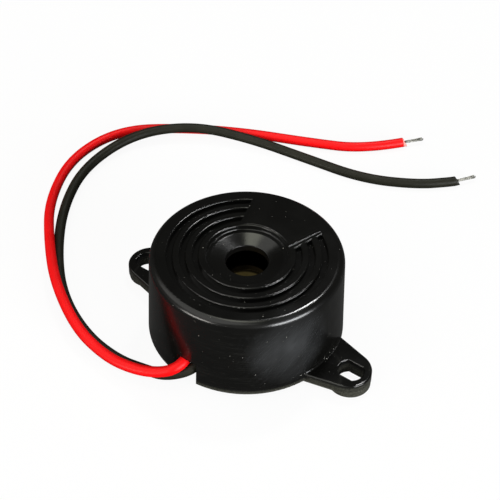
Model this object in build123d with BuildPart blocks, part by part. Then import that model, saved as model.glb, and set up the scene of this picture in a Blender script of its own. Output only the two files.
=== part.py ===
from build123d import *
import math
import os

# An active buzzer: a piezo disc and its driver board in a round moulded casing with two ears and two leads.
# Millimetres, +Z up. The feet stand on z = 0 and the casing's axis is Z.
# The ears lie along X, the wire notch faces -Y and the bare panel on the lid faces +Y.

# Casing: a drafted cup, open below, that a foot under each ear holds off the surface
overall_height = 12.0
foot_height = 0.8
rim_radius = 11.7
draft_angle = 2.0
rim_edge_radius = 0.15
crown_edge_radius = 0.9
lid_thickness = 1.9

# Inside of the casing, stepped by a ledge for the board and a ledge for the disc
wall_thickness = 1.2
board_ledge = 0.4
disc_ledge = 0.8
chamber_height = 1.2
component_room = 2.9
fit_clearance = 0.1

# Dish in the lid, with the sound hole at its bottom
dish_radius = 4.8
dish_wall_depth = 0.6
dish_wall_draft = 0.05
dish_shelf_width = 0.55
dish_cone_depth = 0.5
dish_edge_radius = 0.12
hole_radius = 2.5

# Ring grooves round the dish, broken by the raised bare panel
dish_land = 0.85
groove_count = 3
groove_width = 0.7
groove_land = 0.8
groove_depth = 0.5
lip_radius = 0.12
panel_height = 0.12
panel_edge_radius = 0.08
panel_half_width = 1.92
panel_side_angle = 19.2
panel_margin = 0.77
groove_end_angle = 16.7

# Ears, each with a slot for a mounting screw
slot_reach = 3.3
slot_length = 3.1
slot_width = 2.5
slot_offset = 0.43
slot_edge_radius = 0.1
ear_land = 0.85
ear_thickness = 1.2
ear_taper_angle = 13.5
ear_edge_radius = 0.2
ear_root_radius = 0.2
foot_offset = 0.1
foot_cove = 0.4

# Notch in the wall, where the leads leave
notch_width = 2.7
notch_height = 3.3

# Piezo disc: a brass plate, a ceramic layer and two silver electrodes
plate_thickness = 0.2
ceramic_margin = 3.0
ceramic_thickness = 0.2
electrode_margin = 0.4
electrode_thickness = 0.05
tongue_length = 3.4
tongue_width = 2.2
tongue_gap = 0.3
glue_height = 0.5

# Driver board, its potting and its components
board_thickness = 1.0
potting_thickness = 0.8
inductor_radius = 2.0
inductor_height = 1.6
inductor_flange = 0.4
inductor_core_radius = 0.9
winding_inset = 0.2
inductor_place_shares = (0.21, 0.40)
transistor_length = 2.9
transistor_width = 1.3
transistor_height = 0.95
transistor_standoff = 0.1
transistor_leg_pitch = 0.95
transistor_leg_width = 0.4
transistor_leg_thickness = 0.12
transistor_leg_reach = 0.55
transistor_foot_length = 0.3
transistor_place_shares = (-0.36, 0.31)
resistor_length = 2.0
resistor_width = 1.25
resistor_height = 0.5
resistor_cap_length = 0.35
resistor_cap_thickness = 0.05
resistor_place_shares = ((-0.46, -0.12), (-0.14, -0.02), (0.2, -0.3))

# Jumper wires from the board to the disc, each between two cones of solder
jumper_radius = 0.15
solder_radius = 0.55
solder_height = 0.4
drive_joint_share = 0.77
drive_joint_angle = 259
plate_joint_angle = 211

# Leads: insulated stranded wire, bare at the far end
lead_diameter = 1.3
conductor_diameter = 0.45
bare_length = 2.4
bend_run_share = 0.45
red_route = [
    (-0.67, -6.9, 4.35),
    (-0.67, -9.4, 3.41),
    (-0.36, -12.6, 3.38),
    (-2.2, -13.87, 2.42),
    (-5.35, -14.91, 1.96),
    (-9.46, -14.99, 1.52),
    (-14.85, -13.81, 1.72),
    (-21.7, -9.83, 1.93),
    (-27.34, -4.73, 1.58),
    (-33.48, 1.96, 0.65),
    (-37.04, 10.55, 0.65),
    (-35.49, 19.07, 0.65),
    (-28.66, 24.7, 0.65),
    (-21.25, 29.01, 0.65),
    (-12.97, 32.58, 0.65),
    (-6.23, 35.87, 0.65),
    (-0.8, 42.78, 0.65),
]
black_route = [
    (0.67, -7.0, 4.3),
    (0.67, -9.0, 3.3),
    (0.62, -11.18, 2.4),
    (-2.1, -12.88, 1.1),
    (-4.62, -13.41, 0.89),
    (-8.48, -14.01, 0.65),
    (-13.97, -13.21, 0.65),
    (-20.6, -9.96, 0.65),
    (-26.34, -4.43, 0.65),
    (-31.35, 2.45, 0.65),
    (-34.32, 10.18, 0.7),
    (-32.93, 18.89, 1.31),
    (-27.2, 24.8, 1.76),
    (-19.64, 27.97, 1.03),
    (-11.56, 29.47, 0.65),
    (-3.01, 30.58, 0.65),
    (3.53, 33.99, 0.65),
    (7.0, 37.3, 0.65),
    (8.96, 40.18, 0.65),
]

# One overrun for all cuts
overrun = 1.0

# Heights
rim_level = foot_height
ear_top = rim_level + ear_thickness
lid_underside = overall_height - lid_thickness
disc_seat = lid_underside - chamber_height
board_seat = disc_seat - component_room
board_underside = board_seat - board_thickness
potting_face = board_underside - potting_thickness
plate_underside = disc_seat - plate_thickness
ceramic_underside = plate_underside - ceramic_thickness
electrode_underside = ceramic_underside - electrode_thickness

# Radii and places
crown_radius = rim_radius - (overall_height - rim_level) * math.tan(math.radians(draft_angle))
board_bore = rim_radius - wall_thickness
disc_bore = board_bore - board_ledge
chamber_radius = disc_bore - disc_ledge
board_radius = board_bore - fit_clearance
plate_radius = disc_bore - fit_clearance
ceramic_radius = plate_radius - ceramic_margin
electrode_radius = ceramic_radius - electrode_margin
grooves_inner = dish_radius + dish_land
grooves_outer = grooves_inner + groove_count * groove_width + (groove_count - 1) * groove_land
slot_place = rim_radius + slot_reach
ear_tip_place = slot_place - slot_offset
ear_tip_radius = slot_length / 2 + slot_offset + ear_land
foot_place = slot_place - foot_offset
foot_radius = ear_tip_place + ear_tip_radius - foot_place

os.makedirs("parts", exist_ok=True)


def wedge(half_width, side_angle):
    """Corners of a flat wedge that opens along +Y from the casing's axis past the crown."""
    reach = rim_radius
    far_half_width = half_width + reach * math.tan(math.radians(side_angle))
    return [(-half_width, 0), (half_width, 0), (far_half_width, reach), (-far_half_width, reach)]


def board_place(shares):
    """A place on the board's upper face, from its shares of the board's radius."""
    return Vector(shares[0] * board_radius, shares[1] * board_radius, board_seat)


def polar_place(radius, angle):
    """A place on the board's upper face, at a radius and an angle round the casing's axis."""
    return Vector(radius, 0, board_seat).rotate(Axis.Z, angle)


def bend_radii(points):
    """The largest arc that two runs leave room for, at each inner point of a route."""
    radii = []
    for before, here, after in zip(points, points[1:], points[2:]):
        run_in = here - before
        run_out = after - here
        half_turn = math.radians(run_in.get_angle(run_out)) / 2
        radii.append(bend_run_share * min(run_in.length, run_out.length) / math.tan(half_turn))
    return radii


# Plan of the ears: two tapered arms that end in round tips
with BuildSketch() as ear_plan:
    taper = math.radians(ear_taper_angle)
    tangent_x = ear_tip_place + ear_tip_radius * math.sin(taper)
    tangent_y = ear_tip_radius * math.cos(taper)
    root_y = tangent_y + tangent_x * math.tan(taper)
    with BuildLine():
        Polyline((0, root_y), (tangent_x, tangent_y), (tangent_x, -tangent_y), (0, -root_y), close=True)
    make_face()
    with Locations((ear_tip_place, 0)):
        Circle(ear_tip_radius)
    mirror(about=Plane.YZ)

# Foot under one ear, round, flaring into the ear's underside and trimmed to the ear's plan
with BuildPart() as foot:
    with BuildSketch(Plane.XZ):
        foot_side = foot_place + foot_radius
        cove_level = foot_height - foot_cove
        with BuildLine():
            CenterArc((foot_side + foot_cove, cove_level), foot_cove, 90, 90)
            Polyline((foot_side, cove_level), (foot_side, 0), (foot_place, 0), (foot_place, foot_height),
                     (foot_side + foot_cove, foot_height))
        make_face()
    revolve(axis=Axis((foot_place, 0, 0), (0, 0, 1)))
    extrude(ear_plan.sketch, amount=foot_height, mode=Mode.INTERSECT)

# Coves where the ears' top faces run into the wall
with BuildPart() as ear_roots:
    with BuildSketch(Plane.XZ):
        root_top = ear_top + ear_root_radius
        root_wall = rim_radius - (root_top - rim_level) * math.tan(math.radians(draft_angle))
        root_toe = root_wall + ear_root_radius
        root_back = root_wall - wall_thickness / 2
        with BuildLine():
            CenterArc((root_toe, root_top), ear_root_radius, 180, 90)
            Polyline((root_toe, ear_top), (root_back, ear_top), (root_back, root_top), (root_wall, root_top))
        make_face()
    revolve(axis=Axis.Z)
    with BuildSketch(Plane.XY.offset(ear_top)):
        add(ear_plan.sketch)
        offset(amount=-ear_edge_radius, mode=Mode.REPLACE)
    extrude(amount=ear_root_radius, mode=Mode.INTERSECT)

# Casing
with BuildPart() as casing:
    # Ear plate on its two feet
    extrude(Plane.XY.offset(rim_level) * ear_plan.sketch, amount=ear_thickness)
    fillet(casing.edges().group_by(Axis.Z)[-1], ear_edge_radius)
    add(foot.part)
    mirror(foot.part, about=Plane.YZ)

    # Outer form of the cup, with its crown and its rim rounded
    with BuildSketch(Plane.XZ) as cup_section:
        with BuildLine():
            Polyline((0, rim_level), (rim_radius, rim_level), (crown_radius, overall_height),
                     (0, overall_height), close=True)
        make_face()
        fillet(cup_section.vertices().group_by(Axis.Y)[-1].sort_by(Axis.X)[-1], crown_edge_radius)
        fillet(cup_section.vertices().group_by(Axis.Y)[0].sort_by(Axis.X)[-1], rim_edge_radius)
    revolve(axis=Axis.Z)
    add(ear_roots.part)

    # Slots: round holes with two flats, eased at the top
    with BuildSketch():
        with Locations((slot_place, 0), (-slot_place, 0)):
            Circle(slot_length / 2)
        Rectangle(2 * slot_place + slot_length + overrun, slot_width, mode=Mode.INTERSECT)
    extrude(amount=ear_top, mode=Mode.SUBTRACT)
    fillet(casing.edges(Select.LAST).group_by(Axis.Z)[-1], slot_edge_radius)

    # Inside, from the open rim up to the sound chamber
    with BuildSketch(Plane.XZ):
        with BuildLine():
            Polyline((0, rim_level), (board_bore, rim_level), (board_bore, board_seat), (disc_bore, board_seat),
                     (disc_bore, disc_seat), (chamber_radius, disc_seat), (chamber_radius, lid_underside),
                     (0, lid_underside), close=True)
        make_face()
    revolve(axis=Axis.Z, mode=Mode.SUBTRACT)

    # Dish and sound hole, with their corners eased
    with BuildSketch(Plane.XZ):
        shelf_level = overall_height - dish_wall_depth
        shelf_radius = dish_radius - dish_wall_draft
        with BuildLine():
            Polyline((0, overall_height), (dish_radius, overall_height), (shelf_radius, shelf_level),
                     (shelf_radius - dish_shelf_width, shelf_level), (hole_radius, shelf_level - dish_cone_depth),
                     (hole_radius, lid_underside), (0, lid_underside), close=True)
        make_face()
    revolve(axis=Axis.Z, mode=Mode.SUBTRACT)
    dish_edges = casing.edges(Select.LAST).filter_by(GeomType.CIRCLE).group_by(Axis.Z)
    fillet(dish_edges[1] + dish_edges[-2] + dish_edges[-1], dish_edge_radius)

    # Ring grooves, which stop short of the panel
    with BuildSketch(Plane.XY.offset(overall_height)):
        for number in reversed(range(groove_count)):
            inner = grooves_inner + number * (groove_width + groove_land)
            Circle(inner + groove_width)
            Circle(inner, mode=Mode.SUBTRACT)
        with BuildLine():
            Polyline(*wedge(panel_half_width + panel_margin, groove_end_angle), close=True)
        make_face(mode=Mode.SUBTRACT)
    extrude(amount=-groove_depth, mode=Mode.SUBTRACT)
    fillet(casing.edges(Select.LAST).group_by(Axis.Z)[-1], lip_radius)

    # Raised bare panel, from the dish's eased edge to the outer groove
    with BuildSketch(Plane.XY.offset(overall_height)):
        Circle(grooves_outer)
        Circle(dish_radius + dish_edge_radius, mode=Mode.SUBTRACT)
        with BuildLine():
            Polyline(*wedge(panel_half_width, panel_side_angle), close=True)
        make_face(mode=Mode.INTERSECT)
    extrude(amount=panel_height)
    fillet(casing.edges(Select.LAST).group_by(Axis.Z)[-1], panel_edge_radius)

    # Notch for the leads
    with BuildSketch(Plane.XY.offset(rim_level)):
        with Locations((0, -board_bore - wall_thickness / 2)):
            Rectangle(notch_width, wall_thickness + 2 * overrun)
    extrude(amount=notch_height, mode=Mode.SUBTRACT)
casing.part.label = "casing"
export_step(casing.part, "parts/casing.step")

# Brass plate of the piezo disc, seated on the disc ledge
with BuildPart() as piezo_plate:
    with BuildSketch(Plane.XY.offset(plate_underside)):
        Circle(plate_radius)
    extrude(amount=plate_thickness)
piezo_plate.part.label = "piezo_plate"
export_step(piezo_plate.part, "parts/piezo_plate.step")

# Ceramic layer of the piezo disc
with BuildPart() as piezo_ceramic:
    with BuildSketch(Plane.XY.offset(ceramic_underside)):
        Circle(ceramic_radius)
    extrude(amount=ceramic_thickness)
piezo_ceramic.part.label = "piezo_ceramic"
export_step(piezo_ceramic.part, "parts/piezo_ceramic.step")

# Tongue of silver at the ceramic's edge, which feeds the tone back to the driver
tongue_end = electrode_radius - tongue_length + tongue_width / 2
with BuildPart() as feedback_electrode:
    with BuildSketch(Plane.XY.offset(electrode_underside)):
        with Locations((tongue_end, 0)):
            Circle(tongue_width / 2)
            Rectangle(electrode_radius, tongue_width, align=(Align.MIN, Align.CENTER))
        Circle(electrode_radius, mode=Mode.INTERSECT)
    extrude(amount=electrode_thickness)
feedback_electrode.part.label = "feedback_electrode"
export_step(feedback_electrode.part, "parts/feedback_electrode.step")

# Main silver electrode, which leaves a gap round the tongue
with BuildPart() as drive_electrode:
    with BuildSketch(Plane.XY.offset(electrode_underside)):
        Circle(electrode_radius)
        with Locations((tongue_end, 0)):
            Circle(tongue_width / 2 + tongue_gap, mode=Mode.SUBTRACT)
            Rectangle(electrode_radius, tongue_width + 2 * tongue_gap, align=(Align.MIN, Align.CENTER),
                      mode=Mode.SUBTRACT)
    extrude(amount=electrode_thickness)
drive_electrode.part.label = "drive_electrode"
export_step(drive_electrode.part, "parts/drive_electrode.step")

# Bead of glue that holds the disc's edge to the casing
with BuildPart() as glue_ring:
    with BuildSketch(Plane.XZ):
        with BuildLine():
            Polyline((disc_bore, plate_underside), (chamber_radius, plate_underside),
                     (disc_bore, plate_underside - glue_height), close=True)
        make_face()
    revolve(axis=Axis.Z)
glue_ring.part.label = "glue_ring"
export_step(glue_ring.part, "parts/glue_ring.step")

# Driver board, seated on the board ledge
with BuildPart() as circuit_board:
    with BuildSketch(Plane.XY.offset(board_underside)):
        Circle(board_radius)
    extrude(amount=board_thickness)
circuit_board.part.label = "circuit_board"
export_step(circuit_board.part, "parts/circuit_board.step")

# Ferrite drum of the inductor
inductor_base = Plane(board_place(inductor_place_shares))
with BuildPart() as inductor_core:
    with BuildSketch(inductor_base):
        Circle(inductor_radius)
    extrude(amount=inductor_height)
    with BuildSketch(inductor_base.offset(inductor_flange)):
        Circle(inductor_radius)
        Circle(inductor_core_radius, mode=Mode.SUBTRACT)
    extrude(amount=inductor_height - 2 * inductor_flange, mode=Mode.SUBTRACT)
inductor_core.part.label = "inductor_core"
export_step(inductor_core.part, "parts/inductor_core.step")

# Copper winding between the drum's flanges
with BuildPart() as inductor_winding:
    with BuildSketch(inductor_base.offset(inductor_flange)):
        Circle(inductor_radius - winding_inset)
        Circle(inductor_core_radius, mode=Mode.SUBTRACT)
    extrude(amount=inductor_height - 2 * inductor_flange)
inductor_winding.part.label = "inductor_winding"
export_step(inductor_winding.part, "parts/inductor_winding.step")

# Transistor: a small moulded body on three bent legs
transistor_base = Plane(board_place(transistor_place_shares))
with BuildPart() as transistor:
    with BuildSketch(transistor_base.offset(transistor_standoff)):
        Rectangle(transistor_length, transistor_width)
    extrude(amount=transistor_height)
    leg_level = transistor_standoff + transistor_height / 2
    leg_foot_level = transistor_leg_thickness / 2
    leg_end = transistor_width / 2 + transistor_leg_reach
    leg_bend = leg_end - transistor_foot_length
    for across, side in ((-transistor_leg_pitch, 1), (transistor_leg_pitch, 1), (0, -1)):
        leg_root = transistor_base.origin + Vector(across, 0, 0)
        with BuildSketch(Plane(leg_root, x_dir=(0, side, 0), z_dir=(side, 0, 0))):
            with BuildLine():
                Polyline((0, leg_level), (leg_bend, leg_level), (leg_bend, leg_foot_level),
                         (leg_end, leg_foot_level))
            trace(line_width=transistor_leg_thickness)
        extrude(amount=transistor_leg_width / 2, both=True)
transistor.part.label = "transistor"
export_step(transistor.part, "parts/transistor.step")

# Chip resistors, each with a cap at both ends
with BuildPart() as resistors:
    for shares in resistor_place_shares:
        resistor_base = Plane(board_place(shares))
        with BuildSketch(resistor_base):
            Rectangle(resistor_length, resistor_width)
        extrude(amount=resistor_height)
        with BuildSketch(resistor_base):
            with GridLocations(resistor_length - resistor_cap_length, 0, 2, 1):
                Rectangle(resistor_cap_length, resistor_width + 2 * resistor_cap_thickness)
        extrude(amount=resistor_height + resistor_cap_thickness)
resistors.part.label = "resistors"
export_step(resistors.part, "parts/resistors.step")

# Jumper wires from the board to the disc
feedback_joint = Vector(electrode_radius - tongue_length / 2, 0, board_seat)
drive_joint = polar_place(drive_joint_share * electrode_radius, drive_joint_angle)
plate_joint = polar_place((ceramic_radius + chamber_radius) / 2, plate_joint_angle)
joints = [
    ("feedback_jumper", feedback_joint, electrode_underside),
    ("drive_jumper", drive_joint, electrode_underside),
    ("plate_jumper", plate_joint, plate_underside),
]
for name, joint, disc_face in joints:
    with BuildPart() as jumper:
        with BuildSketch(Plane(joint).offset(solder_height)):
            Circle(jumper_radius)
        extrude(amount=disc_face - board_seat - 2 * solder_height)
    jumper.part.label = name
    export_step(jumper.part, f"parts/{name}.step")

# Cones of solder at both ends of the jumpers
with BuildPart() as solder_joints:
    for name, joint, disc_face in joints:
        with Locations(joint):
            Cone(solder_radius, jumper_radius, solder_height, align=(Align.CENTER, Align.CENTER, Align.MIN))
        with Locations((joint.X, joint.Y, disc_face)):
            Cone(jumper_radius, solder_radius, solder_height, align=(Align.CENTER, Align.CENTER, Align.MAX))
solder_joints.part.label = "solder_joints"
export_step(solder_joints.part, "parts/solder_joints.step")

# Leads, each a solid tube of insulation with its conductor where it is bare
leads = []
for colour, route in (("red", red_route), ("black", black_route)):
    tip = Vector(*route[-1])
    last_direction = (tip - Vector(*route[-2])).normalized()
    stripped_end = tip - last_direction * bare_length
    stops = [Vector(*point) for point in route[:-1]] + [stripped_end]
    radii = bend_radii(stops)
    with BuildPart() as lead:
        with BuildLine():
            centre_line = FilletPolyline(*stops, radius=radii)
        with BuildSketch(Plane(origin=centre_line @ 0, z_dir=centre_line % 0)):
            Circle(lead_diameter / 2)
        sweep()
    lead.part.label = f"{colour}_lead"
    export_step(lead.part, f"parts/{colour}_lead.step")
    leads.append(lead.part)

    with BuildPart() as conductor:
        with BuildSketch(Plane(origin=stripped_end, z_dir=last_direction)):
            Circle(conductor_diameter / 2)
        extrude(amount=bare_length)
    conductor.part.label = f"{colour}_conductor"
    export_step(conductor.part, f"parts/{colour}_conductor.step")

    section = math.pi * (lead_diameter / 2) ** 2
    print(f"{colour} lead: length {centre_line.length + bare_length:.1f} mm")
    print(f"  radii {[round(radius, 1) for radius in radii]}")
    print(f"  volume {lead.part.volume:.2f}, section times length {section * centre_line.length:.2f}")

# Black epoxy that seals the board from below and holds the leads
with BuildPart() as potting:
    with BuildSketch(Plane.XY.offset(potting_face)):
        Circle(board_bore)
    extrude(amount=potting_thickness)
    for lead_solid in leads:
        add(lead_solid, mode=Mode.SUBTRACT)
potting.part.label = "potting"
export_step(potting.part, "parts/potting.step")
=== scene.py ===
# Looks of the buzzer: camera, leads, materials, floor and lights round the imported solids.
# Metres, in the solids' own frame. Materials work in millimetres, and MM turns those into metres.
import math

import bmesh
import bpy
from mathutils import Matrix, Vector


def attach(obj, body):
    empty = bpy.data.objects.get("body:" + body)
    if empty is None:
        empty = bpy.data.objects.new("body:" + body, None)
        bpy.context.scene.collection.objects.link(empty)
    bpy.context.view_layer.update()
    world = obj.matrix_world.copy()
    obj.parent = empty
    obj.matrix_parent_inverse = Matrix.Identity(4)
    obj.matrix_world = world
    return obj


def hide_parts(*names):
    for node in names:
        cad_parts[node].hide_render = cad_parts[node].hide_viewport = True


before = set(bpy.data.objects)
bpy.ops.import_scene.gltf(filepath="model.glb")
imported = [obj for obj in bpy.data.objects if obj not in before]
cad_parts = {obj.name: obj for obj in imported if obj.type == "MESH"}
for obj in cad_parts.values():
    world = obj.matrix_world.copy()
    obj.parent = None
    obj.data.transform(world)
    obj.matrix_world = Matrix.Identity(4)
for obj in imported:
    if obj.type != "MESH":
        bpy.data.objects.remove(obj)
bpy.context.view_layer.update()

MM = 0.001
scene = bpy.context.scene
scene.view_settings.view_transform = "Standard"

# Camera at the photograph's viewing angle
CAMERA_PLACE = Vector((67.42, -94.84, 124.37)) * MM
CAMERA_AZIMUTH = math.radians(35.25)
CAMERA_ELEVATION = math.radians(43.85)
CAMERA_ROLL = math.radians(1.16)
CAMERA_LENS = 101.3
CAMERA_SENSOR = 36.0

# Leads: their diameter, where they leave the casing, and the routes of their centre lines in millimetres
LEAD_DIAMETER = 1.3 * MM
BARE_LENGTH = 2.4 * MM
RED_EXIT = Vector((-0.5, -11.7, 3.38)) * MM
BLACK_EXIT = Vector((0.62, -11.5, 2.2)) * MM
RED_LENGTH = 102.7 * MM
BLACK_LENGTH = 106.3 * MM
RED_ROUTE = [
    (-0.67, -6.9, 4.35),
    (-0.67, -9.4, 3.41),
    (-0.36, -12.6, 3.38),
    (-2.2, -13.87, 2.42),
    (-5.35, -14.91, 1.96),
    (-9.46, -14.99, 1.52),
    (-14.85, -13.81, 1.72),
    (-21.7, -9.83, 1.93),
    (-27.34, -4.73, 1.58),
    (-33.48, 1.96, 0.65),
    (-37.04, 10.55, 0.65),
    (-35.49, 19.07, 0.65),
    (-28.66, 24.7, 0.65),
    (-21.25, 29.01, 0.65),
    (-12.97, 32.58, 0.65),
    (-6.23, 35.87, 0.65),
    (-0.8, 42.78, 0.65),
]
BLACK_ROUTE = [
    (0.67, -7.0, 4.3),
    (0.67, -9.0, 3.3),
    (0.62, -11.18, 2.4),
    (-2.1, -12.88, 1.1),
    (-4.62, -13.41, 0.89),
    (-8.48, -14.01, 0.65),
    (-13.97, -13.21, 0.65),
    (-20.6, -9.96, 0.65),
    (-26.34, -4.43, 0.65),
    (-31.35, 2.45, 0.65),
    (-34.32, 10.18, 0.7),
    (-32.93, 18.89, 1.31),
    (-27.2, 24.8, 1.76),
    (-19.64, 27.97, 1.03),
    (-11.56, 29.47, 0.65),
    (-3.01, 30.58, 0.65),
    (3.53, 33.99, 0.65),
    (7.0, 37.3, 0.65),
    (8.96, 40.18, 0.65),
]
CURVE_STEPS = 16
BEVEL_STEPS = 8

# Strands of a bare lead end: the first is straight, and each is cut short by its own length
STRAND_RADIUS = 0.065 * MM
STRAND_CIRCLE = 0.125 * MM
STRAND_PITCH = 3.4 * MM
STRAND_ROOT = 0.3 * MM
STRAND_FRAY = 0.5
STRAND_FRAY_POWER = 3
STRAND_STEPS = 24
STRAND_SIDES = 10
STRAND_CUTS = [0.0, 0.25 * MM, 0.1 * MM, 0.4 * MM, 0.05 * MM, 0.3 * MM, 0.15 * MM]

# Slanted cut at the end of a lead's insulation
CUT_SLANT = 0.65 * MM
CUT_RAGGED = 0.03 * MM
CUT_WAVES = 7
CUT_EDGE = 0.06 * MM
CUT_ROOT = 0.1 * MM
CUT_HOLE_RADIUS = 0.24 * MM
CUT_HOLE_DEPTH = 0.2 * MM
CUT_SIDES = 48

# Noise: its levels of detail, its middle, the part of its range that blotches use, and its size for hairs
PLAIN_DETAIL = 2.0
SOFT_DETAIL = 3.0
FINE_DETAIL = 4.0
NOISE_MIDDLE = 0.5
NOISE_SPAN = (0.3, 0.7)
HAIR_SIZE = 1.0

# Sockets of a colour mix
MIX_SHARE = 0
MIX_FIRST = 6
MIX_SECOND = 7
MIX_RESULT = 2

# Casing: its colours, the sizes of its blotches and grain, and the depth of the grain
MOULDING_DARK = (0.0022, 0.0022, 0.002)
MOULDING_PALE = (0.004, 0.0039, 0.0034)
STREAK_COLOUR = (0.009, 0.009, 0.008)
# The next colour is a painted sheen, a pale patch that stands for a reflection on the right wall.
PAINTED_SHEEN_COLOUR = (0.076, 0.079, 0.082)
SCRATCH_COLOUR = (0.024, 0.025, 0.026)
WORN_COLOUR = (0.09, 0.09, 0.072)
DUST_COLOUR = (0.45, 0.44, 0.4)
MOULDING_BLOTCH = 3.0
MOULDING_GRAIN = 0.12
MOULDING_RELIEF = 0.0014

# Casing's spans, each from where a mark is absent to where it is full
# Heights are above the surface, OUT spans are from the casing's axis, and FROM_SLOT spans from a slot's axis
WALL_HEIGHTS = (11.0, 10.5)
LOW_RIM_HEIGHTS = (1.5, 0.9)
EAR_SIDE_HEIGHTS = (1.9, 1.5)
EAR_SIDE_OUT = (11.8, 12.3)
EAR_SIDE_FROM_SLOT = (1.7, 2.0)
CORNER_UPPER_HEIGHTS = (2.5, 2.3)
CORNER_LOWER_HEIGHTS = (1.8, 1.9)
CORNER_OUT = (12.0, 11.8)
CORNER_FROM_SLOT = (7.0, 6.6)
LID_HEIGHTS = (10.6, 11.2)
CROWN_HEIGHTS = (10.6, 11.0)
CROWN_OUT = (10.5, 10.8)
HOLE_HEIGHTS = (10.95, 10.8)
HOLE_OUT = (2.7, 2.6)
EAR_OUT = (11.7, 11.9)
SLOT_PLACE = (15.0, 0.0, 0.0)

# Painted sheen on the casing's right wall, a pale patch that stands for a reflection, with slanting
# scratches round it, and level streaks all round the wall
PAINTED_SHEEN_PLACE = (10.2, -5.4, 7.2)
PAINTED_SHEEN_REACHES = (5.6, 0.0)
PAINTED_SHEEN_BLOTCH = 2.2
PAINTED_SHEEN_STRETCH = (1.0, 1.0, 2.5)
SCRATCH_REACHES = (7.0, 2.333)
SCRATCH_STRETCH = (0.4, 0.4, 12.0)
SCRATCH_TURN = (-0.6, 0.4, 0.0)
SCRATCH_WIDTH = 0.025
STREAK_STRETCH = (9.0, 9.0, 0.4)
STREAK_WIDTH = 0.02

# Wear: the most on an ear's side, the least in the grain, the grain's span, and a worn face's lowest lean
EAR_WEAR = 0.6
LEAST_WEAR = 0.2
WEAR_GRAIN_SPAN = (0.35, 0.65)
WEAR_LEAN_SPAN = (-0.8, -0.4)

# Dust and dirt: the cell that a speck lies in, the speck's reach, and the share of cells that hold one
FINE_DUST = (0.5, 0.03, 0.4)
COARSE_DUST = (1.2, 0.06, 0.4)
CORNER_DIRT = (0.4, 0.08, 0.6)

# Casing's roughness on wall and lid, and what its blotches, crown, ears, hole and scratches add to it
WALL_ROUGHNESS = 0.2
LID_ROUGHNESS = 0.15
BLOTCH_ROUGHNESS = (-0.02, 0.02)
CROWN_ROUGHNESS = 0.09
EAR_ROUGHNESS = -0.08
HOLE_ROUGHNESS = 0.15
SCRATCH_ROUGHNESS = 0.15

# Soft plastics: dark colour, pale colour, roughness and specular level, then what they share
SOFT_PLASTICS = {
    "red_plastic": ((0.92, 0.003, 0.004), (0.98, 0.005, 0.007), 0.42, 0.22),
    "black_soft_plastic": ((0.012, 0.012, 0.0075), (0.018, 0.0175, 0.0115), 0.48, 0.18),
    "red_cut": ((0.93, 0.32, 0.28), (0.96, 0.5, 0.45), 0.55, 0.3),
    "black_cut": ((0.02, 0.02, 0.016), (0.05, 0.05, 0.042), 0.55, 0.3),
}
SOFT_BLOTCH = 2.5
SOFT_GLOSS_BLOTCH = 0.9
SOFT_GRAIN = 0.1
SOFT_RELIEF = 0.006
SOFT_SMOOTHER = 0.06
SOFT_ROUGHER = 0.08

# Metals: dark colour, pale colour and roughness, then what they share
METALS = {
    "tinned_strands": ((0.2, 0.2, 0.175), (0.4, 0.39, 0.35), 0.42),
    "silver": ((0.7, 0.69, 0.66), (0.85, 0.84, 0.81), 0.35),
    "copper": ((0.6, 0.22, 0.1), (0.72, 0.3, 0.15), 0.3),
}
METAL_BLOTCH = 0.8
METAL_GRAIN = 0.05
METAL_RELIEF = 0.0004
METAL_SMOOTH_SHARE = 0.8
METAL_ROUGH_SHARE = 1.3

# Brass plate: its colours, its roughness, and the painted shade round a lit patch where light through the
# sound hole falls
BRASS_DARK = (0.6, 0.46, 0.16)
BRASS_PALE = (0.72, 0.56, 0.22)
# The next colour is painted shade, dark brown where the plate lies in shade under the lid.
BRASS_PAINTED_SHADE = (0.07, 0.052, 0.025)
BRASS_ROUGHNESS = (0.05, 0.08)
LIT_PATCH_PLACE = (1.36, -2.2, 0.0)
PAINTED_SHADE_REACHES = (2.6, 2.86)

# Dull solids: dark colour, pale colour, roughness, size of the blotches and depth of the relief
DULL_SOLIDS = {
    "ceramic": ((0.55, 0.5, 0.38), (0.66, 0.61, 0.48), 0.6, 0.4, 0.01),
    "glue": ((0.7, 0.68, 0.6), (0.8, 0.78, 0.7), 0.35, 1.2, 0.05),
    "board": ((0.04, 0.18, 0.06), (0.06, 0.24, 0.09), 0.4, 0.6, 0.01),
    "ferrite": ((0.03, 0.03, 0.032), (0.06, 0.06, 0.062), 0.55, 0.2, 0.02),
    "chip": ((0.012, 0.012, 0.012), (0.022, 0.022, 0.022), 0.5, 0.15, 0.005),
    "epoxy": ((0.008, 0.008, 0.009), (0.016, 0.016, 0.017), 0.28, 3.0, 0.12),
}
DULL_ROUGHNESS_SPREAD = 0.06

# Look of each solid that isn't replaced
SOLID_LOOKS = {
    "casing": "black_moulding",
    "piezo_plate": "brass",
    "piezo_ceramic": "ceramic",
    "drive_electrode": "silver",
    "feedback_electrode": "silver",
    "glue_ring": "glue",
    "circuit_board": "board",
    "inductor_core": "ferrite",
    "inductor_winding": "copper",
    "transistor": "chip",
    "resistors": "chip",
    "feedback_jumper": "tinned_strands",
    "drive_jumper": "tinned_strands",
    "plate_jumper": "tinned_strands",
    "solder_joints": "silver",
    "potting": "epoxy",
}

# Leads: colour, route, exit, length, look of the insulation and look of its cut end
LEADS = [
    ("red", RED_ROUTE, RED_EXIT, RED_LENGTH, "red_plastic", "red_cut"),
    ("black", BLACK_ROUTE, BLACK_EXIT, BLACK_LENGTH, "black_soft_plastic", "black_cut"),
]

# Floor: its tone to the camera and to light that bounces, and how much plain white each kind of ray sees
FLOOR_SIZE = 4.0
FLOOR_DROP = 0.02 * MM
FLOOR_TONE = 0.95
FLOOR_BOUNCE = 0.06
FLOOR_WHITE_SHARES = {"Is Camera Ray": 0.92, "Is Glossy Ray": 0.03, "Is Transmission Ray": 0.03}

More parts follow.
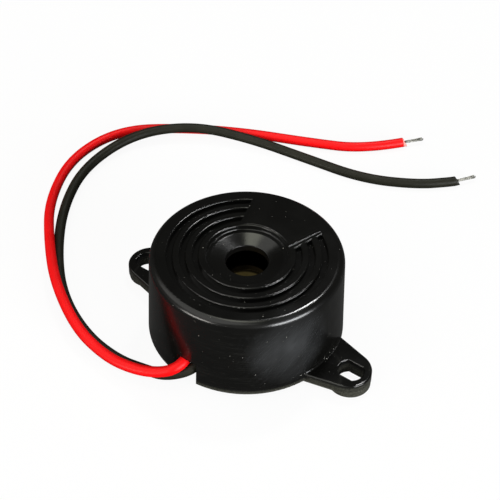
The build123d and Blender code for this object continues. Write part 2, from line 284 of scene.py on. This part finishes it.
# World: its strength behind and in front of the casing, and the directions along Y where each is reached
WORLD_COLOUR = (1.0, 1.0, 0.95)
WORLD_BACK = 0.05
WORLD_FRONT = 0.3
WORLD_SPAN = (0.3, -0.8)

# Lamps: name, direction from the casing, width and height, power in watts and colour
LAMP_TARGET = Vector((0, 0, 8)) * MM
LAMP_DISTANCE = 0.6
LAMPS = [
    ("key", (-0.12, 0.5, 0.85), (0.07, 0.07), 0.8, (1.0, 1.0, 1.0)),
    ("overhead", (-0.13, 0.1, 0.98), (0.12, 0.24), 0.28, (0.99, 1.0, 0.84)),
    ("fill", (-0.3, -0.42, 0.86), (0.9, 0.6), 1.8, (1.0, 1.0, 0.95)),
    ("right", (0.94, -0.14, 0.22), (0.4, 0.24), 4.8, (0.96, 0.98, 1.0)),
    ("left", (-0.25, -0.93, 0.12), (0.3, 0.15), 1.6, (1.0, 0.97, 0.92)),
]


def add_camera():
    """Points the camera down at the buzzer with the photograph's angles, lens and slight roll."""
    back = Vector((math.sin(CAMERA_AZIMUTH) * math.cos(CAMERA_ELEVATION),
                   -math.cos(CAMERA_AZIMUTH) * math.cos(CAMERA_ELEVATION),
                   math.sin(CAMERA_ELEVATION)))
    level = Vector((math.cos(CAMERA_AZIMUTH), math.sin(CAMERA_AZIMUTH), 0))
    raised = back.cross(level)
    right = level * math.cos(CAMERA_ROLL) + raised * math.sin(CAMERA_ROLL)
    up = raised * math.cos(CAMERA_ROLL) - level * math.sin(CAMERA_ROLL)
    data = bpy.data.cameras.new("camera")
    data.lens = CAMERA_LENS
    data.sensor_width = CAMERA_SENSOR
    camera = bpy.data.objects.new("camera", data)
    scene.collection.objects.link(camera)
    turn = Matrix((right, up, back)).transposed().to_4x4()
    camera.matrix_world = Matrix.Translation(CAMERA_PLACE) @ turn
    scene.camera = camera


def add_lead(name, points):
    """A lead's insulation: one smooth spline along the points."""
    curve = bpy.data.curves.new(name, "CURVE")
    curve.dimensions = "3D"
    spline = curve.splines.new("NURBS")
    spline.points.add(len(points) - 1)
    for control, place in zip(spline.points, points):
        control.co = (*place, 1)
    spline.order_u = 3
    spline.use_endpoint_u = True
    curve.resolution_u = CURVE_STEPS
    curve.bevel_depth = LEAD_DIAMETER / 2
    curve.bevel_resolution = BEVEL_STEPS
    curve.use_fill_caps = True
    lead = bpy.data.objects.new(name, curve)
    scene.collection.objects.link(lead)
    return lead


def join_rings(mesh, rings):
    """Adds the faces between rings that follow each other, and closes both ends."""
    sides = len(rings[0])
    for first, second in zip(rings, rings[1:]):
        for step in range(sides):
            following = (step + 1) % sides
            mesh.faces.new((first[step], first[following], second[following], second[step]))
    mesh.faces.new(reversed(rings[0]))
    mesh.faces.new(rings[-1])


def sweep(mesh, points, radius, sides):
    """Adds a round bar with closed ends along the points."""
    rings = []
    side = (points[1] - points[0]).orthogonal().normalized()
    for number, place in enumerate(points):
        before = points[max(number - 1, 0)]
        after = points[min(number + 1, len(points) - 1)]
        along = (after - before).normalized()
        side = (side - along * side.dot(along)).normalized()
        other = along.cross(side)
        ring = []
        for step in range(sides):
            turn = 2 * math.pi * step / sides
            ring.append(mesh.verts.new(place + (side * math.cos(turn) + other * math.sin(turn)) * radius))
        rings.append(ring)
    join_rings(mesh, rings)


def add_piece(name, mesh):
    """Makes a smooth-shaded object of a finished mesh."""
    data = bpy.data.meshes.new(name)
    mesh.to_mesh(data)
    mesh.free()
    data.shade_smooth()
    piece = bpy.data.objects.new(name, data)
    scene.collection.objects.link(piece)
    return piece


def add_strands(name, stripped_end, tip):
    """The bare end: one straight strand with the others twisted round it, cut unevenly."""
    axis = (tip - stripped_end).normalized()
    side = axis.orthogonal().normalized()
    other = axis.cross(side)
    twisted_count = len(STRAND_CUTS) - 1
    mesh = bmesh.new()
    for number, cut in enumerate(STRAND_CUTS):
        points = []
        for step in range(STRAND_STEPS + 1):
            share = step / STRAND_STEPS
            along = (BARE_LENGTH - cut + STRAND_ROOT) * share - STRAND_ROOT
            turn = 2 * math.pi * (number / twisted_count + along / STRAND_PITCH)
            spread = STRAND_CIRCLE * (1 + STRAND_FRAY * share ** STRAND_FRAY_POWER) if number else 0
            points.append(stripped_end + axis * along
                          + (side * math.cos(turn) + other * math.sin(turn)) * spread)
        sweep(mesh, points, STRAND_RADIUS, STRAND_SIDES)
    return add_piece(name, mesh)


def add_cut_end(name, end, axis):
    """The end of a lead's insulation: a slanted, slightly ragged face with a hole for the strands."""
    side = axis.cross(Vector((0, 0, 1))).normalized()
    up = side.cross(axis)
    radius = LEAD_DIAMETER / 2
    # Each ring: its radius, how far along the lead it starts, and its share of the slant
    profile = [
        (radius, -CUT_ROOT, 0.0),
        (radius, -CUT_EDGE, 1.0),
        (radius - CUT_EDGE, 0.0, 1.0),
        (CUT_HOLE_RADIUS, 0.0, 1.0),
        (CUT_HOLE_RADIUS, -CUT_HOLE_DEPTH, 1.0),
    ]
    mesh = bmesh.new()
    rings = []
    for ring_radius, start, slant_share in profile:
        ring = []
        for step in range(CUT_SIDES):
            turn = 2 * math.pi * step / CUT_SIDES
            slant = CUT_SLANT * (1 - math.sin(turn) * ring_radius / radius) / 2
            along = start + slant_share * (slant + CUT_RAGGED * math.sin(CUT_WAVES * turn))
            ring.append(mesh.verts.new(end + axis * along
                                       + (side * math.cos(turn) + up * math.sin(turn)) * ring_radius))
        rings.append(ring)
    join_rings(mesh, rings)
    return add_piece(name, mesh)


def dress_lead(looks, colour, route, lead_exit, length, insulation_look, cut_look):
    """A lead with its cut end and its bare strands, in place of its plain solids."""
    points = [Vector(point) * MM for point in route]
    tip = points[-1]
    axis = (tip - points[-2]).normalized()
    stripped_end = tip - axis * BARE_LENGTH
    insulation_end = stripped_end - axis * CUT_SLANT
    lead = add_lead(f"{colour}_insulation", points[:-1] + [insulation_end])
    lead.data.materials.append(looks[insulation_look])
    cut_end = add_cut_end(f"{colour}_cut_end", insulation_end, axis)
    cut_end.data.materials.append(looks[cut_look])
    strands = add_strands(f"{colour}_strands", stripped_end, tip)
    strands.data.materials.append(looks["tinned_strands"])
    for piece in (lead, cut_end, strands):
        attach(piece, "root")
    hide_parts(f"{colour}_lead")
    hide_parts(f"{colour}_conductor")


def add_node(tree, kind, inputs, **settings):
    """Adds a node to a tree, sets its options, and gives each input a value or a link."""
    node = tree.nodes.new(kind)
    for option, value in settings.items():
        setattr(node, option, value)
    for socket, value in inputs.items():
        if isinstance(value, bpy.types.NodeSocket):
            tree.links.new(value, node.inputs[socket])
        else:
            node.inputs[socket].default_value = value
    return node


def add_ramp(tree, value, span, results=(0.0, 1.0)):
    """Takes a span of a value to a span of results, and stops at its ends."""
    return add_node(tree, "ShaderNodeMapRange", {
        "Value": value,
        "From Min": span[0],
        "From Max": span[1],
        "To Min": results[0],
        "To Max": results[1],
    }).outputs[0]


class Look:
    """A Principled material whose colour, roughness and bump come from nodes that work in millimetres."""

    def __init__(self, name, fixed):
        self.material = bpy.data.materials.new(name)
        self.material.use_nodes = True
        self.tree = self.material.node_tree
        self.shader = self.tree.nodes["Principled BSDF"]
        for socket, value in fixed.items():
            self.shader.inputs[socket].default_value = value
        self.coordinates = self.node("ShaderNodeTexCoord", {}).outputs
        metres = self.coordinates["Object"]
        self.place = self.node("ShaderNodeVectorMath", {"Vector": metres, "Scale": 1 / MM},
                               operation="SCALE").outputs[0]
        self.flat = self.node("ShaderNodeVectorMath", {0: self.place, 1: (1, 1, 0)},
                              operation="MULTIPLY").outputs[0]

    def node(self, kind, inputs, **settings):
        """Adds a node to the material."""
        return add_node(self.tree, kind, inputs, **settings)

    def ramp(self, value, span, results=(0.0, 1.0)):
        """Takes a span of a value to a span of results, and stops at its ends."""
        return add_ramp(self.tree, value, span, results)

    def combine(self, operation, *values):
        """Joins values one after another by an operation such as MULTIPLY."""
        result = values[0]
        for value in values[1:]:
            result = self.node("ShaderNodeMath", {0: result, 1: value}, operation=operation).outputs[0]
        return result

    def distance(self, place, target):
        """How far a place is from a target."""
        away = self.node("ShaderNodeVectorMath", {0: place, 1: target}, operation="DISTANCE")
        return away.outputs["Value"]

    def stretched(self, stretch, turn=(0, 0, 0)):
        """The place, turned and then stretched, for marks that run one way."""
        return self.node("ShaderNodeMapping", {"Vector": self.place, "Scale": stretch, "Rotation": turn},
                         vector_type="TEXTURE").outputs[0]

    def noise(self, size, detail=SOFT_DETAIL, place=None):
        """Soft noise from 0 to 1 with marks of a size in millimetres."""
        return self.node("ShaderNodeTexNoise",
                         {"Vector": place or self.place, "Scale": 1 / size, "Detail": detail}).outputs[0]

    def blend(self, share, first, second):
        """A colour from the first, plain or linked, to the second, as the share goes from 0 to 1."""
        if not isinstance(first, bpy.types.NodeSocket):
            first = (*first, 1)
        return self.node("ShaderNodeMix", {MIX_SHARE: share, MIX_FIRST: first, MIX_SECOND: (*second, 1)},
                         data_type="RGBA").outputs[MIX_RESULT]

    def specks(self, size, reach, kept_share):
        """Small round specks of a reach in millimetres, in a share of the cells of a given size."""
        cells = self.node("ShaderNodeTexVoronoi", {"Vector": self.place, "Scale": 1 / size}).outputs
        near = self.ramp(cells["Distance"], (reach / size, reach / size / 2))
        chosen = self.node("ShaderNodeSeparateColor", {"Color": cells["Color"]}).outputs[0]
        return self.combine("MULTIPLY", near, self.combine("LESS_THAN", chosen, kept_share))

    def hairs(self, width, place):
        """Thin wandering lines where noise at a stretched place crosses its middle."""
        offset = self.combine("SUBTRACT", self.noise(HAIR_SIZE, PLAIN_DETAIL, place), NOISE_MIDDLE)
        away = self.node("ShaderNodeMath", {0: offset}, operation="ABSOLUTE").outputs[0]
        return self.ramp(away, (width, 0.0))

    def finish(self, colour, roughness, height, depth):
        """Joins the colour, the roughness and a bump of a depth in millimetres to the shader."""
        bump = self.node("ShaderNodeBump", {"Height": height, "Distance": depth * MM, "Strength": 1.0})
        self.tree.links.new(colour, self.shader.inputs["Base Color"])
        self.tree.links.new(roughness, self.shader.inputs["Roughness"])
        self.tree.links.new(bump.outputs["Normal"], self.shader.inputs["Normal"])
        return self.material


class CasingLook(Look):
    """The casing's material, with its heights, its distances and the marks that they place."""

    def __init__(self, name):
        super().__init__(name, {})
        self.height = self.node("ShaderNodeSeparateXYZ", {"Vector": self.place}).outputs["Z"]
        self.lean = self.node("ShaderNodeSeparateXYZ", {"Vector": self.coordinates["Normal"]}).outputs["Z"]
        self.out = self.node("ShaderNodeVectorMath", {0: self.flat}, operation="LENGTH").outputs["Value"]
        both_ears = self.node("ShaderNodeVectorMath", {0: self.flat}, operation="ABSOLUTE").outputs[0]
        self.from_slot = self.distance(both_ears, SLOT_PLACE)
        self.from_patch = self.distance(self.place, PAINTED_SHEEN_PLACE)
        self.on_wall = self.ramp(self.height, WALL_HEIGHTS)
        self.blotches = self.noise(MOULDING_BLOTCH)
        self.grain = self.noise(MOULDING_GRAIN, FINE_DETAIL)

    def painted_sheen(self):
        """Painted sheen: pale blotches on the right wall that stand for a reflection."""
        blotches = self.noise(PAINTED_SHEEN_BLOTCH, PLAIN_DETAIL, self.stretched(PAINTED_SHEEN_STRETCH, SCRATCH_TURN))
        return self.combine("MULTIPLY", self.ramp(self.from_patch, PAINTED_SHEEN_REACHES), blotches)

    def scratched(self):
        """Slanting scratches round the painted sheen patch."""
        lines = self.hairs(SCRATCH_WIDTH, self.stretched(SCRATCH_STRETCH, SCRATCH_TURN))
        return self.combine("MULTIPLY", lines, self.ramp(self.from_patch, SCRATCH_REACHES), self.on_wall)

    def streaked(self):
        """Level streaks all round the wall."""
        lines = self.hairs(STREAK_WIDTH, self.stretched(STREAK_STRETCH))
        return self.combine("MULTIPLY", lines, self.on_wall)

    def worn(self):
        """Wear along the low edges of the rim and the ears, but not underneath or in a slot."""
        low_rim = self.ramp(self.height, LOW_RIM_HEIGHTS)
        ear_side = self.combine("MULTIPLY",
                                self.ramp(self.out, EAR_SIDE_OUT),
                                self.ramp(self.height, EAR_SIDE_HEIGHTS, (0.0, EAR_WEAR)),
                                self.ramp(self.from_slot, EAR_SIDE_FROM_SLOT))
        return self.combine("MULTIPLY",
                            self.combine("MAXIMUM", low_rim, ear_side),
                            self.ramp(self.grain, WEAR_GRAIN_SPAN, (LEAST_WEAR, 1.0)),
                            self.ramp(self.lean, WEAR_LEAN_SPAN))

    def dusty(self):
        """Dust all over, and dirt caught in the corner between the wall and an ear."""
        dirt = self.combine("MULTIPLY",
                            self.specks(*CORNER_DIRT),
                            self.ramp(self.height, CORNER_UPPER_HEIGHTS),
                            self.ramp(self.height, CORNER_LOWER_HEIGHTS),
                            self.ramp(self.out, CORNER_OUT),
                            self.ramp(self.from_slot, CORNER_FROM_SLOT))
        return self.combine("MAXIMUM", self.specks(*FINE_DUST), self.specks(*COARSE_DUST), dirt)

    def roughness(self, scratched):
        """Gloss of wall and lid, duller on the crown, in the hole and at scratches, brighter on ears."""
        crown = self.combine("MULTIPLY",
                             self.ramp(self.out, CROWN_OUT),
                             self.ramp(self.height, CROWN_HEIGHTS),
                             CROWN_ROUGHNESS)
        in_hole = self.combine("MULTIPLY",
                               self.ramp(self.out, HOLE_OUT),
                               self.ramp(self.height, HOLE_HEIGHTS),
                               HOLE_ROUGHNESS)
        return self.combine("ADD",
                            self.ramp(self.height, LID_HEIGHTS, (WALL_ROUGHNESS, LID_ROUGHNESS)),
                            self.ramp(self.blotches, NOISE_SPAN, BLOTCH_ROUGHNESS),
                            crown,
                            self.ramp(self.out, EAR_OUT, (0.0, EAR_ROUGHNESS)),
                            in_hole,
                            self.combine("MULTIPLY", scratched, SCRATCH_ROUGHNESS))


def casing_look(name):
    """Black moulded plastic with a painted sheen patch on the right wall, worn low edges, fine scratches and
    dust.
    """
    look = CasingLook(name)
    scratched = look.scratched()
    marks = [
        (look.streaked(), STREAK_COLOUR),
        # Painted sheen: a pale patch that stands for a reflection on the right wall
        (look.painted_sheen(), PAINTED_SHEEN_COLOUR),
        (scratched, SCRATCH_COLOUR),
        (look.worn(), WORN_COLOUR),
        (look.dusty(), DUST_COLOUR),
    ]
    colour = look.blend(look.blotches, MOULDING_DARK, MOULDING_PALE)
    for share, mark_colour in marks:
        colour = look.blend(share, colour, mark_colour)
    return look.finish(colour, look.roughness(scratched), look.grain, MOULDING_RELIEF)


def soft_plastic_look(name, dark, pale, roughness, specular):
    """Soft extruded plastic: faint blotches, uneven gloss and fine grain."""
    look = Look(name, {"Specular IOR Level": specular})
    colour = look.blend(look.ramp(look.noise(SOFT_BLOTCH), NOISE_SPAN), dark, pale)
    rough = look.ramp(look.noise(SOFT_GLOSS_BLOTCH), NOISE_SPAN,
                      (roughness - SOFT_SMOOTHER, roughness + SOFT_ROUGHER))
    return look.finish(colour, rough, look.noise(SOFT_GRAIN), SOFT_RELIEF)


def metal_look(name, dark, pale, roughness):
    """Bare metal with a little tarnish and a fine grain."""
    look = Look(name, {"Metallic": 1.0})
    blotches = look.noise(METAL_BLOTCH, FINE_DETAIL)
    colour = look.blend(look.ramp(blotches, NOISE_SPAN), dark, pale)
    rough = look.ramp(blotches, NOISE_SPAN, (roughness * METAL_SMOOTH_SHARE, roughness * METAL_ROUGH_SHARE))
    return look.finish(colour, rough, look.noise(METAL_GRAIN), METAL_RELIEF)


def brass_look(name):
    """Brass sheet, bright in a round patch where light through the sound hole falls, with painted shade
    round it.
    """
    look = Look(name, {"Metallic": 1.0})
    blotches = look.noise(METAL_BLOTCH, FINE_DETAIL)
    # Painted shade: the plate is darkened outside the round patch that light through the sound hole reaches
    painted_shade = look.ramp(look.distance(look.flat, LIT_PATCH_PLACE), PAINTED_SHADE_REACHES)
    colour = look.blend(look.ramp(blotches, NOISE_SPAN), BRASS_DARK, BRASS_PALE)
    colour = look.blend(painted_shade, colour, BRASS_PAINTED_SHADE)
    rough = look.ramp(blotches, NOISE_SPAN, BRASS_ROUGHNESS)
    return look.finish(colour, rough, look.noise(METAL_GRAIN), METAL_RELIEF)


def dull_look(name, dark, pale, roughness, size, depth):
    """A dull solid with blotches of a size and a relief of a depth, in millimetres."""
    look = Look(name, {})
    blotches = look.noise(size, FINE_DETAIL)
    colour = look.blend(look.ramp(blotches, NOISE_SPAN), dark, pale)
    rough = look.ramp(blotches, NOISE_SPAN,
                      (roughness - DULL_ROUGHNESS_SPREAD, roughness + DULL_ROUGHNESS_SPREAD))
    return look.finish(colour, rough, blotches, depth)


def make_looks():
    """All materials by name."""
    made = {"black_moulding": casing_look("black_moulding"), "brass": brass_look("brass")}
    for name, values in SOFT_PLASTICS.items():
        made[name] = soft_plastic_look(name, *values)
    for name, values in METALS.items():
        made[name] = metal_look(name, *values)
    for name, values in DULL_SOLIDS.items():
        made[name] = dull_look(name, *values)
    return made


def dress_solid(name, look):
    """Gives a solid its material, and shades its flat faces flat."""
    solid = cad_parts[name]
    solid.data.materials.clear()
    solid.data.materials.append(look)
    flats = solid.modifiers.new("flat_faces", "WEIGHTED_NORMAL")
    flats.keep_sharp = True


def add_floor():
    """A plain pale floor that keeps the shadow and shows white to the camera."""
    mesh = bmesh.new()
    bmesh.ops.create_grid(mesh, x_segments=1, y_segments=1, size=FLOOR_SIZE / 2)
    floor = add_piece("floor", mesh)
    floor.location.z = -FLOOR_DROP
    material = bpy.data.materials.new("floor")
    material.use_nodes = True
    tree = material.node_tree
    tree.nodes.clear()
    rays = add_node(tree, "ShaderNodeLightPath", {}).outputs
    white_share = 0.0
    for ray, share in FLOOR_WHITE_SHARES.items():
        white_share = add_node(tree, "ShaderNodeMath", {0: rays[ray], 1: share, 2: white_share},
                               operation="MULTIPLY_ADD").outputs[0]
    tone = add_ramp(tree, rays["Is Camera Ray"], (0.0, 1.0), (FLOOR_BOUNCE, FLOOR_TONE))
    matt = add_node(tree, "ShaderNodeBsdfDiffuse", {"Color": tone}).outputs[0]
    white = add_node(tree, "ShaderNodeEmission", {}).outputs[0]
    mix = add_node(tree, "ShaderNodeMixShader", {0: white_share, 1: matt, 2: white}).outputs[0]
    add_node(tree, "ShaderNodeOutputMaterial", {"Surface": mix})
    floor.data.materials.append(material)


def add_lamp(name, direction, size, power, colour):
    """A soft box that faces the casing from a direction."""
    data = bpy.data.lights.new(name, "AREA")
    data.shape = "RECTANGLE"
    data.size, data.size_y = size
    data.energy = power
    data.color = colour
    lamp = bpy.data.objects.new(name, data)
    scene.collection.objects.link(lamp)
    towards = Vector(direction).normalized()
    lamp.location = LAMP_TARGET + towards * LAMP_DISTANCE
    lamp.rotation_euler = towards.to_track_quat("Z", "Y").to_euler()


def add_world():
    """Soft light from all round, brighter in front of the casing than behind it."""
    world = bpy.data.worlds.new("world")
    world.use_nodes = True
    tree = world.node_tree
    direction = add_node(tree, "ShaderNodeTexCoord", {}).outputs["Generated"]
    axes = add_node(tree, "ShaderNodeSeparateXYZ", {"Vector": direction}).outputs
    glow = add_ramp(tree, axes["Y"], WORLD_SPAN, (WORLD_BACK, WORLD_FRONT))
    background = tree.nodes["Background"]
    background.inputs["Color"].default_value = (*WORLD_COLOUR, 1)
    tree.links.new(glow, background.inputs["Strength"])
    scene.world = world


add_camera()
looks = make_looks()
for lead in LEADS:
    dress_lead(looks, *lead)
for node_name, look_name in SOLID_LOOKS.items():
    dress_solid(node_name, looks[look_name])
add_floor()
for lamp in LAMPS:
    add_lamp(*lamp)
add_world()
